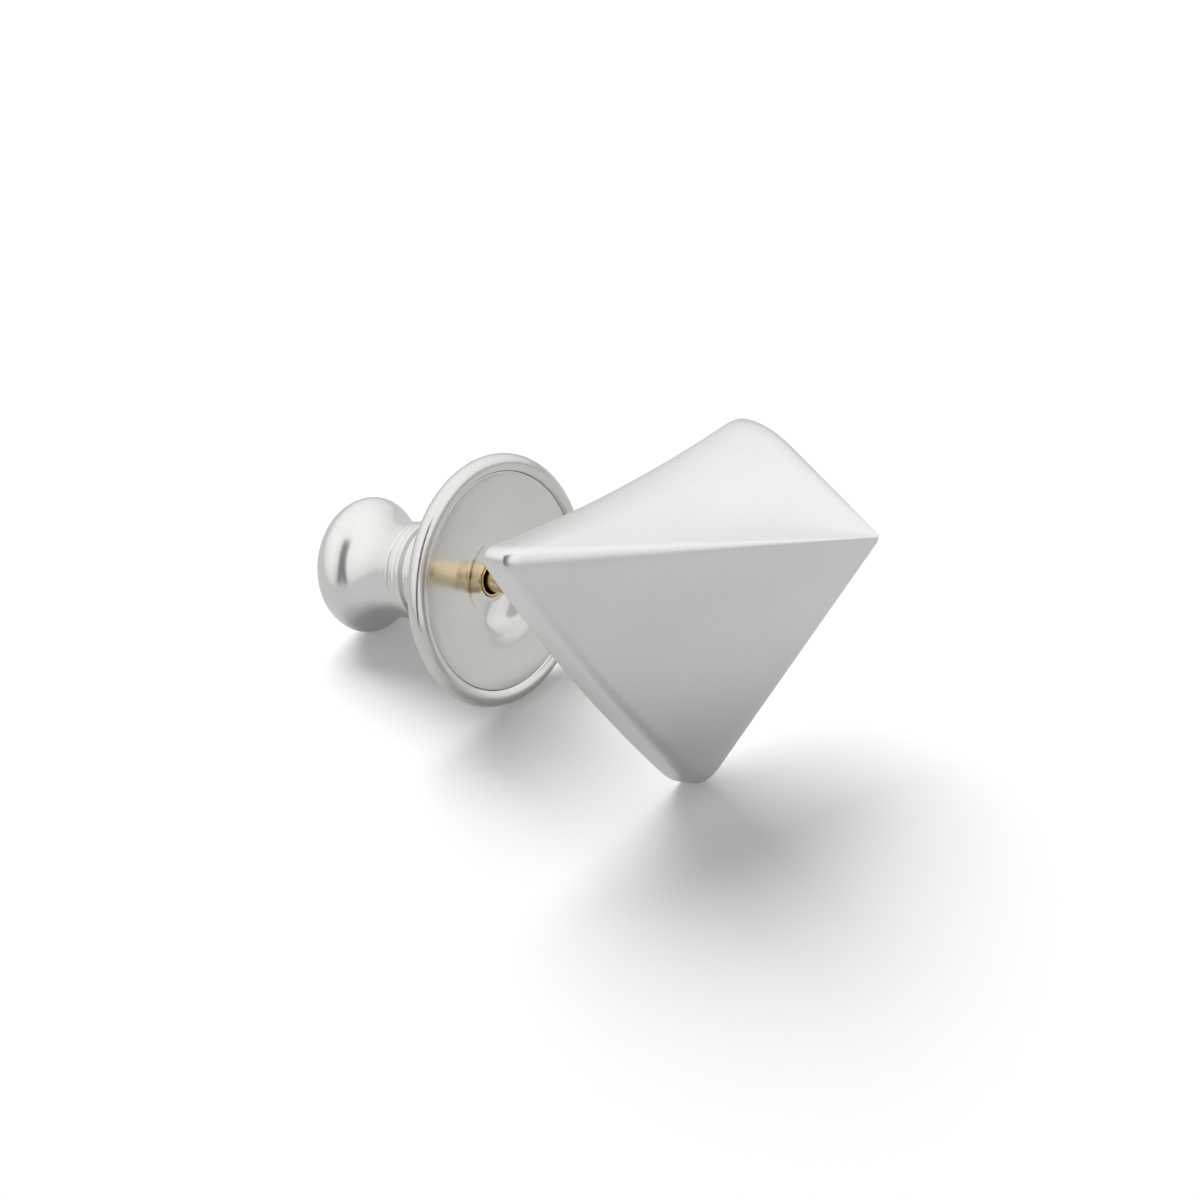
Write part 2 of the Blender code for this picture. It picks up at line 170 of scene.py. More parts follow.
def turned(name: str, profile: Profile, edge: Edge = Edge.RING, segments: int = 128) -> bpy.types.Object:
    """Turn a profile about the pin's axis.

    Args:
        name: the piece's name.
        profile: (radius, height) points; a solid piece's start and end on the axis.
        edge: whether the profile closes on itself or on the axis.
        segments: steps round the axis.

    Returns:
        The piece as an object.
    """
    shape = bmesh.new()
    inner = profile[1:-1] if edge is Edge.SOLID else profile
    rings = []
    for radius, height in inner:
        angles = [2 * math.pi * k / segments for k in range(segments)]
        rings.append([shape.verts.new((radius * math.cos(a), radius * math.sin(a), height)) for a in angles])
    pairs = list(zip(rings, rings[1:]))
    if edge is Edge.RING:
        pairs.append((rings[-1], rings[0]))
    for upper, lower in pairs:
        for k in range(segments):
            following = (k + 1) % segments
            shape.faces.new((upper[k], lower[k], lower[following], upper[following]))
    if edge is Edge.SOLID:
        for ring, (_, height) in ((rings[0], profile[0]), (rings[-1], profile[-1])):
            tip = shape.verts.new((0, 0, height))
            for k in range(segments):
                shape.faces.new((tip, ring[k], ring[(k + 1) % segments]))
    return mesh_object(name, shape)


def smooth_curve(points: Profile, steps: int = 6) -> Profile:
    """Run a smooth curve through a profile's points.

    Args:
        points: the points that it passes through.
        steps: points added for each stretch.

    Returns:
        The curve's points.
    """
    nodes = [Vector(p) for p in points]
    padded = [2 * nodes[0] - nodes[1], *nodes, 2 * nodes[-1] - nodes[-2]]
    curve: Profile = []
    for a, b, c, d in zip(padded, padded[1:], padded[2:], padded[3:]):
        for step in range(steps):
            t = step / steps
            point = 0.5 * (2 * b + (c - a) * t + (2 * a - 5 * b + 4 * c - d) * t**2
                           + (3 * b - a - 3 * c + d) * t**3)
            curve.append(tuple(point))
    curve.append(tuple(nodes[-1]))
    return curve


def settle(piece: bpy.types.Object, body: Body, slot: Slot, finish: "Metal", *nodes: str) -> None:
    """Give a piece its body and finish, and hide the CAD nodes that it stands for.

    Args:
        piece: the fine mesh.
        body: the body that it rides on.
        slot: not used.
        finish: the metal that it is made of.
        nodes: the CAD nodes that it replaces.
    """
    piece.data.materials.append(finish.material())
    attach(piece, body.value)
    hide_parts(*nodes)
    log.info("%s rides on %s, %d faces", piece.name, body.value, len(piece.data.polygons))


# ---------------------------------------------------------------- finishes


def new_group(name: str, inputs: dict[str, float], outputs: Sequence[tuple[str, str]]) -> bpy.types.NodeTree:
    """Make an empty shader node group with named sockets.

    Args:
        name: the group's name.
        inputs: each float input and its usual value.
        outputs: each output's name and socket type.

    Returns:
        The group, with its input and output nodes.
    """
    group = bpy.data.node_groups.new(name, "ShaderNodeTree")
    vector = group.interface.new_socket("Vector", in_out="INPUT", socket_type="NodeSocketVector")
    vector.description = "where on the piece, in metres"
    for label, value in inputs.items():
        socket = group.interface.new_socket(label, in_out="INPUT", socket_type="NodeSocketFloat")
        socket.default_value = value
    for label, kind in outputs:
        group.interface.new_socket(label, in_out="OUTPUT", socket_type=kind)
    group.nodes.new("NodeGroupInput").name = "in"
    group.nodes.new("NodeGroupOutput").name = "out"
    return group


@dataclass
class Wiring:
    """Adds nodes to a tree and links them by name."""

    tree: bpy.types.NodeTree

    def add(self, kind: str, **settings: object) -> bpy.types.Node:
        """Add a node and set its properties."""
        node = self.tree.nodes.new(kind)
        for key, value in settings.items():
            setattr(node, key, value)
        return node

    def link(self, source: bpy.types.NodeSocket, target: bpy.types.NodeSocket) -> None:
        """Link one socket to another."""
        self.tree.links.new(source, target)

    def noise(self, vector: bpy.types.NodeSocket, scale: float, detail: float = 3.0) -> bpy.types.NodeSocket:
        """A noise of so many waves to the metre, as its factor socket."""
        node = self.add("ShaderNodeTexNoise")
        node.inputs["Scale"].default_value = scale
        node.inputs["Detail"].default_value = detail
        self.link(vector, node.inputs["Vector"])
        return node.outputs["Fac"]

    def maths(self, operation: str, first: object, second: object) -> bpy.types.NodeSocket:
        """A maths node of two sockets or numbers, as its output."""
        node = self.add("ShaderNodeMath", operation=operation)
        for socket, value in zip(node.inputs, (first, second)):
            if isinstance(value, (int, float)):
                socket.default_value = value
            else:
                self.link(value, socket)
        return node.outputs[0]


def satin_group() -> bpy.types.NodeTree:
    """Fine blasted grain: how rough, how high and how stained the metal is at each point.

    Returns:
        The group, with outputs Roughness, Height and Tarnish.
    """
    found = bpy.data.node_groups.get("satin_grain")
    if found:
        return found
    group = new_group(
        "satin_grain",
        {"Roughness": 0.35, "Spread": 0.06, "Grain": 1.0},
        (("Roughness", "NodeSocketFloat"), ("Height", "NodeSocketFloat"), ("Tarnish", "NodeSocketFloat")),
    )
    wiring = Wiring(group)
    given = group.nodes["in"].outputs
    out = group.nodes["out"].inputs
    grain = wiring.noise(given["Vector"], 16000, 4.0)
    cloud = wiring.noise(given["Vector"], 420, 3.0)
    speck = wiring.noise(given["Vector"], 5200, 2.0)
    centred = wiring.maths("SUBTRACT", wiring.maths("ADD", grain, cloud), 1.0)
    rough = wiring.maths("ADD", given["Roughness"], wiring.maths("MULTIPLY", centred, given["Spread"]))
    wiring.link(rough, out["Roughness"])
    height = wiring.maths("ADD", grain, wiring.maths("MULTIPLY", speck, 0.5))
    wiring.link(wiring.maths("MULTIPLY", height, given["Grain"]), out["Height"])
    wiring.link(wiring.maths("MULTIPLY", cloud, speck), out["Tarnish"])
    return group


def turning_group() -> bpy.types.NodeTree:
    """Concentric marks of a lathe round the pin's axis, as a height.

    Returns:
        The group, with the output Height.
    """
    found = bpy.data.node_groups.get("turning_marks")
    if found:
        return found
    group = new_group("turning_marks", {"Marks": 5200.0, "Depth": 1.0}, (("Height", "NodeSocketFloat"),))
    wiring = Wiring(group)
    given = group.nodes["in"].outputs
    mapping = wiring.add("ShaderNodeMapping", vector_type="TEXTURE")
    mapping.inputs["Location"].default_value = PIN.origin
    mapping.inputs["Rotation"].default_value = PIN.matrix.to_euler()
    wiring.link(given["Vector"], mapping.inputs["Vector"])
    split = wiring.add("ShaderNodeSeparateXYZ")
    wiring.link(mapping.outputs[0], split.inputs[0])
    across = wiring.maths("MULTIPLY", split.outputs["X"], split.outputs["X"])
    up = wiring.maths("MULTIPLY", split.outputs["Y"], split.outputs["Y"])
    radius = wiring.maths("SQRT", wiring.maths("ADD", across, up), 0.0)
    place = wiring.add("ShaderNodeCombineXYZ")
    wiring.link(radius, place.inputs["X"])
    wiring.link(split.outputs["Z"], place.inputs["Y"])
    stretched = wiring.add("ShaderNodeVectorMath", operation="SCALE")
    wiring.link(place.outputs[0], stretched.inputs[0])
    wiring.link(given["Marks"], stretched.inputs["Scale"])
    marks = wiring.noise(stretched.outputs[0], 3.0, 4.0)
    wiring.link(wiring.maths("MULTIPLY", marks, given["Depth"]), group.nodes["out"].inputs["Height"])
    return group


@dataclass(frozen=True)
class Metal:
    """A metal finish: its colour when clean and when stained, and how it was finished."""

    name: str
    colour: Colour
    stain: Colour
    roughness: float
    spread: float = 0.06
    grain: float = 0.3
    turning: float = 0.0
    bump: float = 0.2
    reach: float = 0.02 * MM

    def material(self) -> bpy.types.Material:
        """Make the material once, and return it."""
        found = bpy.data.materials.get(self.name)
        if found:
            return found
        material = bpy.data.materials.new(self.name)
        material.use_nodes = True
        wiring = Wiring(material.node_tree)
        shader = material.node_tree.nodes["Principled BSDF"]
        shader.inputs["Metallic"].default_value = 1.0
        place = wiring.add("ShaderNodeTexCoord").outputs["Object"]
        satin = wiring.add("ShaderNodeGroup", node_tree=satin_group())
        satin.inputs["Roughness"].default_value = self.roughness
        satin.inputs["Spread"].default_value = self.spread
        satin.inputs["Grain"].default_value = self.grain
        wiring.link(place, satin.inputs["Vector"])
        height = satin.outputs["Height"]
        if self.turning > 0:
            turning = wiring.add("ShaderNodeGroup", node_tree=turning_group())
            turning.inputs["Depth"].default_value = self.turning
            wiring.link(place, turning.inputs["Vector"])
            height = wiring.maths("ADD", height, turning.outputs["Height"])
        colour = wiring.add("ShaderNodeMix", data_type="RGBA")
        colour.inputs["A"].default_value = (*self.colour, 1.0)
        colour.inputs["B"].default_value = (*self.stain, 1.0)
        wiring.link(satin.outputs["Tarnish"], colour.inputs["Factor"])
        wiring.link(colour.outputs["Result"], shader.inputs["Base Color"])
        wiring.link(satin.outputs["Roughness"], shader.inputs["Roughness"])
        bump = wiring.add("ShaderNodeBump")
        bump.inputs["Strength"].default_value = self.bump
        bump.inputs["Distance"].default_value = self.reach
        wiring.link(height, bump.inputs["Height"])
        wiring.link(bump.outputs["Normal"], shader.inputs["Normal"])
        return material


SATIN_CAST = Metal("satin_cast_silver", (0.83, 0.83, 0.82), (0.74, 0.74, 0.73), 0.34)
# painted shade: the disc's copy of the satin silver is darker than the cast's, to stand in for the shade
# that its face reflects; its smoother finish and turning marks are real
SATIN_DISC = Metal("satin_disc_silver", (0.77, 0.765, 0.735), (0.68, 0.675, 0.645), 0.15, turning=0.4)
SATIN_RIM = Metal("satin_rim_silver", (0.76, 0.755, 0.735), (0.66, 0.655, 0.635), 0.22, turning=0.3)
POLISHED = Metal("polished_pull_silver", (0.80, 0.795, 0.78), (0.72, 0.715, 0.70), 0.25, turning=0.35)
GOLD_PIN = Metal("gold_pin_wire", (0.84, 0.70, 0.46), (0.70, 0.55, 0.33), 0.20, turning=0.3)
TURNED_BRASS = Metal("turned_brass", (0.80, 0.62, 0.34), (0.60, 0.44, 0.22), 0.28, turning=0.6)
LOCK_STEEL = Metal("lock_steel", (0.62, 0.62, 0.63), (0.48, 0.47, 0.46), 0.24, turning=0.4)
BALL_STEEL = Metal("ball_steel", (0.72, 0.72, 0.73), (0.62, 0.62, 0.62), 0.08, spread=0.02, grain=0.05)
SPRING_STEEL = Metal("spring_steel", (0.52, 0.52, 0.53), (0.38, 0.37, 0.36), 0.30)


# ---------------------------------------------------------------- ornament and pin


@dataclass
class Ornament:
    """The cast head: a rounded triangle behind, a short wall, and facets that rise to one point."""

    turn: float = math.radians(55.86)
    back: float = 7.4 * MM
    wall: float = 1.35 * MM
    back_ease: float = 0.12 * MM  # height of the eased edge at the back
    back_inset: float = 0.014  # how far that edge comes in, as a share of the outline
    corners: tuple[tuple[float, float, float], ...] = (
        (-10.45 * MM, 0.97 * MM, 1.3 * MM),
        (4.3 * MM, -7.7 * MM, 2.2 * MM),
        (5.6 * MM, 8.5 * MM, 2.6 * MM),
    )
    bulges: tuple[float, ...] = (0.5 * MM, 0.0, -0.5 * MM)
    apex: Vector = field(default_factory=lambda: Vector((5.85 * MM, 3.56 * MM, 14.2 * MM)))
    hollow: float = 0.12 * MM
    shell_share: float = 0.84
    fit_share: float = 0.9985  # keeps the finer outline inside the plain one's box
    crisp_edge: float = 0.36 * MM  # rounding of the wall's front edge along the lower side
    soft_edge: float = 1.05 * MM  # and along the upper side
    soft_from: float = 0.8 * MM  # where the rounding starts to grow, across the outline
    soft_to: float = 3.2 * MM
    edge_reach: float = 1.2  # the rounding's length on the facet for each unit down the wall
    tip_share: float = 0.4  # how much of the last step to the apex is left: the point is slightly blunt
    facet_crowding: float = 1.15  # crowds the facet rings towards the wall
    hollow_share: float = 0.72  # the hollow's point, as a share of the way to the apex
    front_draft: float = 0.015  # the wall's lean, as a share of the outline
    edge_steps: int = 10
    ease_steps: int = 6
    plate_thickness: float = 0.6 * MM
    plate_proud: float = 0.04 * MM
    plate_room: float = 0.15 * MM  # of straight wall above the plate, inside the hollow
    plate_fit: float = 0.008  # how much smaller than the hollow the plate is, as a share of the outline
    plate_edge: float = 0.06 * MM
    pin_hole: float = 0.53 * MM
    seat_radius: float = 1.6 * MM
    seat_depth: float = 0.05 * MM
    corner_steps: int = 20
    side_steps: int = 44
    facet_steps: int = 48

    def side_point(self, start: Vector, end: Vector, bulge: float, share: float) -> Vector:
        """A point on a side that bows outwards by its bulge, halfway along."""
        along = end - start
        outward = Vector((along.y, -along.x, 0)).normalized()
        return start + along * share + outward * bulge * 4 * share * (1 - share)

    def outline(self) -> list[tuple[Vector, float]]:
        """The rounded triangle.

        Returns:
            Its points, each with its swell: 0 on the corners and 1 halfway along a side.
        """
        tips = [Vector((x, y, 0)) for x, y, _ in self.corners]
        count = len(tips)
        points = []
        for i, (_, _, rounding) in enumerate(self.corners):
            before, corner, after = tips[i - 1], tips[i], tips[(i + 1) % count]
            cut_before = rounding / (corner - before).length
            cut_after = rounding / (after - corner).length
            cut_next = self.corners[(i + 1) % count][2] / (after - corner).length
            into = self.side_point(before, corner, self.bulges[i - 1], 1 - cut_before)
            away = self.side_point(corner, after, self.bulges[i], cut_after)
            for step in range(self.corner_steps):
                t = step / self.corner_steps
                points.append(((1 - t) ** 2 * into + 2 * t * (1 - t) * corner + t * t * away, 0.0))
            for step in range(self.side_steps):
                share = step / self.side_steps
                place = cut_after + (1 - cut_next - cut_after) * share
                swell = math.sin(math.pi * share) ** 2
                points.append((self.side_point(corner, after, self.bulges[i], place), swell))
        return points

    def softness(self, point: Vector) -> float:
        """How soft the wall's front edge is at a point: 0 along the lower side, 1 along the upper one."""
        share = min(max((point.y - self.soft_from) / (self.soft_to - self.soft_from), 0.0), 1.0)
        return share * share * (3 - 2 * share)

    def outer_rings(self) -> list[list[Vector]]:
        """Rings of points up the wall, round its front edge and up the facets.

        Returns:
            The rings, from the back to the one below the apex.
        """
        outline = [(point * self.fit_share, swell) for point, swell in self.outline()]
        rings = []
        for step in range(self.ease_steps + 1):
            angle = math.pi / 2 * step / self.ease_steps
            height = Vector((0, 0, self.back + self.back_ease * (1 - math.cos(angle))))
            share = 1 - self.back_inset * (1 - math.sin(angle))
            rings.append([point * share + height for point, _ in outline])
        edges = []
        for point, swell in outline:
            soft = self.softness(point)
            depth = self.crisp_edge + (self.soft_edge - self.crisp_edge) * soft
            corner = point * (1 - self.front_draft) + Vector((0, 0, self.back + self.wall))
            low = point + Vector((0, 0, self.back + self.wall - depth))
            edges.append((swell, corner, low, depth))
        for step in range(self.edge_steps + 1):
            t = step / self.edge_steps
            ring = []
            for swell, corner, low, depth in edges:
                turn_in = self.facet_point(corner, swell, self.edge_share(corner, depth))
                ring.append((1 - t) ** 2 * low + 2 * t * (1 - t) * corner + t * t * turn_in)
            rings.append(ring)
        for step in range(1, self.facet_steps + 1):
            rise = (step / (self.facet_steps + 1)) ** self.facet_crowding
            ring = []
            for swell, corner, _, depth in edges:
                start = self.edge_share(corner, depth)
                ring.append(self.facet_point(corner, swell, start + (1 - start) * rise))
            rings.append(ring)
        return rings

    def edge_share(self, corner: Vector, depth: float) -> float:
        """Where the front edge's rounding ends on the facet, as a share of the way to the apex."""
        return depth * self.edge_reach / (self.apex - corner).length

    def facet_point(self, corner: Vector, swell: float, rise: float) -> Vector:
        """A point of a slightly hollow facet, on the line from the wall's front edge to the apex."""
        fall = 4 * self.hollow * rise * (1 - rise) * swell
        return corner.lerp(self.apex, rise) - Vector((0, 0, fall))

    def inner_rings(self, apex: Vector) -> list[list[Vector]]:
        """Rings of points up the hollow inside the casting."""
        outline = self.outline()
        foot = self.back + self.plate_thickness + self.plate_room
        rings = [[p * self.shell_share + Vector((0, 0, z)) for p, _ in outline] for z in (self.back, foot)]
        for step in range(1, self.facet_steps + 1):
            rise = step / (self.facet_steps + 1)
            fall = 4 * self.hollow * rise * (1 - rise)
            rings.append([
                start.lerp(apex, rise) - Vector((0, 0, fall * swell))
                for start, (_, swell) in zip(rings[1], outline)
            ])
        return rings

    def shell(self) -> bpy.types.Object:
        """Loft the casting, outside and inside, as one closed wall."""
        shape = bmesh.new()
        inner_apex = Vector((0, 0, self.back + self.plate_thickness)).lerp(self.apex, self.hollow_share)
        outside = self.outer_rings()
        inside = self.inner_rings(inner_apex)
        tip = sum(outside[-1], Vector()) / len(outside[-1])
        chain = [[shape.verts.new(p) for p in ring] for ring in [*reversed(outside), *inside]]
        count = len(chain[0])
        for upper, lower in zip(chain, chain[1:]):
            for k in range(count):
                following = (k + 1) % count
                shape.faces.new((upper[k], lower[k], lower[following], upper[following]))
        for ring, summit in ((chain[0], tip.lerp(self.apex, self.tip_share)), (chain[-1], inner_apex)):
            end = shape.verts.new(summit)
            for k in range(count):
                shape.faces.new((end, ring[k], ring[(k + 1) % count]))
        shape.transform(Matrix.Rotation(self.turn, 4, "Z"))
        return mesh_object("ornament_shell", shape, sharp_angle=40)

    def plate(self) -> bpy.types.Object:
        """The flat plate behind, with eased edges and a hole for the pin."""
        outline = [p for p, _ in self.outline()]
        scale = self.shell_share - self.plate_fit
        low, high = self.back - self.plate_proud, self.back + self.plate_thickness
        edge = self.plate_edge
        seat = low + self.seat_depth
        loops = [
            [p.normalized() * self.pin_hole + Vector((0, 0, seat)) for p in outline],
            [p.normalized() * self.seat_radius + Vector((0, 0, seat)) for p in outline],
            [p.normalized() * self.seat_radius + Vector((0, 0, low)) for p in outline],
            [p * (scale - 0.01) + Vector((0, 0, low)) for p in outline],
            [p * (scale - 0.003) + Vector((0, 0, low + edge * 0.3)) for p in outline],
            [p * scale + Vector((0, 0, low + edge)) for p in outline],
            [p * scale + Vector((0, 0, high)) for p in outline],
            [p.normalized() * self.pin_hole + Vector((0, 0, high)) for p in outline],
        ]
        shape = bmesh.new()
        rings = [[shape.verts.new(p) for p in loop] for loop in loops]
        for ring, following in zip(rings, rings[1:] + rings[:1]):
            for k in range(len(outline)):
                j = (k + 1) % len(outline)
                shape.faces.new((ring[k], ring[j], following[j], following[k]))
        shape.transform(Matrix.Rotation(self.turn, 4, "Z"))
        return mesh_object("ornament_plate", shape, sharp_angle=30)

    def build(self) -> None:
        """Make the casting and the plate behind it."""
        settle(self.shell(), Body.HEAD, Slot.SATIN, SATIN_CAST, "ornament")
        settle(self.plate(), Body.HEAD, Slot.SATIN, SATIN_CAST, "back_plate")


@dataclass
class Pin:
    """The gold-coloured pin with its grooves and point, and the boss that holds it."""

    radius: float = 0.50 * MM
    tip: float = -3.2 * MM
    cone: float = 0.8 * MM
    groove_depth: float = 0.07 * MM
    grooves: tuple[float, ...] = (0.9 * MM, -1.1 * MM)
    groove_reach: float = 0.15 * MM  # half a groove's width
    head: float = 8.03 * MM
    head_radius: float = 0.8 * MM
    head_height: float = 0.35 * MM
    head_ease: float = 0.08 * MM
    boss_radius: float = 1.3 * MM
    boss_height: float = 0.45 * MM
    gap: float = 0.03 * MM
    boss_top: float = 7.38 * MM

    def shank(self) -> bpy.types.Object:
        """The pin from its riveted head to its point."""
        top = self.head + self.head_height
        profile: Profile = [
            (0, top),
            (self.head_radius - self.head_ease, top),
            (self.head_radius, top - self.head_ease),
            (self.head_radius, self.head),
            (self.radius, self.head),
        ]
        for groove in self.grooves:
            for step in range(13):
                angle = math.pi * step / 12
                height = groove + self.groove_reach * math.cos(angle)
                profile.append((self.radius - self.groove_depth * math.sin(angle) ** 2, height))
        cone = [
            (self.radius, self.tip + self.cone + 0.1 * MM),
            (self.radius, self.tip + self.cone),
            (0.32 * MM, self.tip + 0.32 * MM),
            (0.12 * MM, self.tip + 0.04 * MM),
        ]
        profile += smooth_curve(cone, 5)
        profile.append((0, self.tip))
        return turned("pin_shank", profile, Edge.SOLID, 64)

    def boss(self) -> bpy.types.Object:
        """The soldered boss, with a soft fillet of solder round the pin."""
        bore = self.radius + self.gap
        low = self.boss_top - self.boss_height
        corners = [
            (self.boss_radius, self.boss_top, 0.02 * MM),
            (self.boss_radius, self.boss_top - 0.15 * MM, 0.06 * MM),
            (0.9 * MM, low + 0.12 * MM, 0.12 * MM),
            (0.72 * MM, low, 0.06 * MM),
            (bore, low, 0.0),
            (bore, self.boss_top, 0.0),
        ]
        return turned("pin_boss", eased(corners))

    def build(self) -> None:
        """Make the pin and its boss."""
        settle(self.shank(), Body.HEAD, Slot.GOLD, GOLD_PIN, "post")
        settle(self.boss(), Body.HEAD, Slot.GOLD, GOLD_PIN, "post_boss")


# ---------------------------------------------------------------- clutch


@dataclass
class Clutch:
    """The disc with its rolled rim and dished face, the barrel behind it and the bush in its hole."""

    disc_radius: float = 5.11 * MM
    rim_radius: float = 0.4 * MM
    face_drop: float = 0.12 * MM
    sheet: float = 0.32 * MM
    dish_radius: float = 2.55 * MM
    dish_floor: float = -0.60 * MM
    hole: float = 0.72 * MM
    gap: float = 0.03 * MM
    barrel_radius: float = 1.9 * MM
    barrel_top: float = -1.33 * MM
    barrel_end: float = -4.50 * MM
    neck_bore: float = 1.65 * MM
    disc_end: float = -1.30 * MM  # where the rim's sloping back and the bush end
    bead_from: float = 135.0  # degrees round the bead, from its seam with the face
    bead_to: float = -90.0  # to the disc's back
    bead_steps: int = 24
    bead_seam: float = 0.283 * MM  # how far inside the bead's centre the seam lies
    bush_bore: float = 0.58 * MM
    bush_flange: float = 1.1 * MM
    lip_ease: float = 0.04 * MM

    @property
    def rim_centre(self) -> float:
        """The rim bead's distance from the axis."""
        return self.disc_radius - self.rim_radius

    def face(self) -> bpy.types.Object:
        """The face plate: flat outside, then stepped down in two soft rings to the hole."""
        dish = smooth_curve([
            (self.dish_radius + 0.55 * MM, -self.face_drop),
            (self.dish_radius + 0.20 * MM, -self.face_drop - 0.015 * MM),
            (self.dish_radius - 0.25 * MM, -0.20 * MM),
            (self.dish_radius - 0.70 * MM, -0.29 * MM),
            (self.dish_radius - 1.10 * MM, -0.46 * MM),
            (0.95 * MM, self.dish_floor + 0.02 * MM),
            (self.hole, self.dish_floor),
        ])
        outer = self.rim_centre - 0.30 * MM
        top = eased([(outer, -self.face_drop - 0.1 * MM, 0.0), (outer, -self.face_drop, 0.05 * MM),
                     (outer - 0.4 * MM, -self.face_drop, 0.0)], closed=False)
        under = [(r, z - self.sheet) for r, z in dish]
        profile = [(outer, -self.face_drop - self.sheet), *under, *reversed(dish), *reversed(top)]
        return turned("clutch_face", profile)

    def rim(self) -> bpy.types.Object:
        """The rolled rim and the sloping back of the disc."""
        bead: Profile = []
        for step in range(self.bead_steps + 1):
            angle = math.radians(self.bead_from + (self.bead_to - self.bead_from) * step / self.bead_steps)
            bead.append((self.rim_centre + self.rim_radius * math.cos(angle),
                         self.rim_radius * (math.sin(angle) - 1)))
        back = smooth_curve([
            (4.3 * MM, -0.83 * MM),
            (2.9 * MM, -0.98 * MM),
            (2.35 * MM, -1.08 * MM),
            (2.05 * MM, -1.2 * MM),
            (1.95 * MM, self.disc_end),
        ])
        seat = -self.face_drop - self.sheet - self.gap
        inside = [
            (self.neck_bore, self.disc_end),
            (self.neck_bore, -0.80 * MM),
            (self.dish_radius - 0.68 * MM, -0.66 * MM),
            (self.dish_radius + 0.05 * MM, seat),
            (self.rim_centre - self.bead_seam, seat),
        ]
        return turned("clutch_rim", bead + back + inside, segments=160)

    def barrel(self) -> bpy.types.Object:
        """The barrel behind the disc, with two fine rings at its end."""
        r = self.barrel_radius
        small = 0.035 * MM
        corners = [
            (r + 0.05 * MM, self.barrel_top, 0.0),
            (r, -1.7 * MM, 0.2 * MM),
            (r, -3.78 * MM, 0.05 * MM),
            (r + 0.2 * MM, -3.86 * MM, small),
            (r + 0.2 * MM, -4.10 * MM, small),
            (r + 0.06 * MM, -4.16 * MM, small),
            (r + 0.12 * MM, -4.24 * MM, small),
            (r + 0.12 * MM, self.barrel_end, small),
            (self.neck_bore, self.barrel_end, 0.0),
            (self.neck_bore, self.barrel_top, 0.0),
        ]
        return turned("clutch_barrel", eased(corners, 4))

    def bush(self) -> bpy.types.Object:
        """The brass bush whose lip lines the hole."""
        lip = self.hole - self.gap
        top = self.dish_floor + self.lip_ease
        under = self.dish_floor - self.sheet - self.gap
        corners = [
            (lip, top, 0.03 * MM),
            (lip, under, 0.0),
            (self.bush_flange, under, 0.02 * MM),
            (self.bush_flange, self.disc_end, 0.02 * MM),
            (self.bush_bore, self.disc_end, 0.0),
            (self.bush_bore, top, 0.05 * MM),
        ]
        return turned("hole_bush", eased(corners), segments=96)

    def build(self) -> None:
        """Make the disc, its barrel and the bush."""
        settle(self.face(), Body.CLUTCH, Slot.SATIN, SATIN_DISC, "face_plate")
        settle(self.rim(), Body.CLUTCH, Slot.SATIN, SATIN_RIM, "rim_flange")
        settle(self.barrel(), Body.CLUTCH, Slot.POLISHED, POLISHED, "barrel")
        settle(self.bush(), Body.GUIDE, Slot.BRASS, TURNED_BRASS, "guide_bush")


@dataclass
class PullKnob:
    """The bell-shaped pull: mouth, waist, bulb and a rounded, slightly sunken end."""

    wall: float = 0.28 * MM
    bore: float = 1.66 * MM
    mouth: float = -4.56 * MM
    flare: float = -6.2 * MM
    floor: float = -7.78 * MM
    floor_radius: float = 1.9 * MM
    mouth_radius: float = 1.88 * MM
    end_thickness: float = 0.3 * MM

    def shell(self) -> bpy.types.Object:
        """The drawn bell with its hollow inside."""
        outside = smooth_curve([
            (1.93 * MM, -4.59 * MM),
            (1.96 * MM, -4.66 * MM),
            (1.95 * MM, -4.90 * MM),
            (1.95 * MM, -5.45 * MM),
            (1.99 * MM, -5.80 * MM),
            (2.09 * MM, -6.13 * MM),
            (2.28 * MM, -6.46 * MM),
            (2.53 * MM, -6.74 * MM),
            (2.70 * MM, -7.00 * MM),
            (2.752 * MM, -7.26 * MM),
            (2.685 * MM, -7.55 * MM),
            (2.50 * MM, -7.87 * MM),
            (2.22 * MM, -8.09 * MM),
            (1.90 * MM, -8.16 * MM),
            (1.60 * MM, -8.12 * MM),
            (1.2 * MM, -8.09 * MM),
        ])
        inside = [(r - self.wall, z) for r, z in outside if self.floor < z < self.flare]
        profile = [(0, self.floor), (self.floor_radius, self.floor), *reversed(inside)]
        profile += [
            (self.bore, self.flare + 0.3 * MM),
            (self.bore, self.mouth),
            (self.mouth_radius, self.mouth),
        ]
        profile += outside + [(0, self.floor - self.end_thickness)]
        return turned("pull_bell", profile, Edge.SOLID)

    def build(self) -> None:
        """Make the bell."""
        settle(self.shell(), Body.PLUNGER, Slot.POLISHED, POLISHED, "pull_knob")


@dataclass
class LockWorks:
    """The pieces inside the clutch, whose CAD meshes stay and take a finish each."""

    finishes: dict[str, Metal] = field(default_factory=lambda: {
        "lock_sleeve": LOCK_STEEL,
        "spring_seat": LOCK_STEEL,
        "ball_cage": LOCK_STEEL,
        "spring": SPRING_STEEL,
        "knob_plug": TURNED_BRASS,
        "lock_ball_1": BALL_STEEL,
        "lock_ball_2": BALL_STEEL,
        "lock_ball_3": BALL_STEEL,
    })

    def build(self) -> None:
        """Dress each inner piece."""
        for node, finish in self.finishes.items():
            obj = frame["nodes"][node]
            for slot in obj.material_slots:
                slot.material = finish.material()
            log.info("%s takes %s", node, finish.name)


# ---------------------------------------------------------------- stage


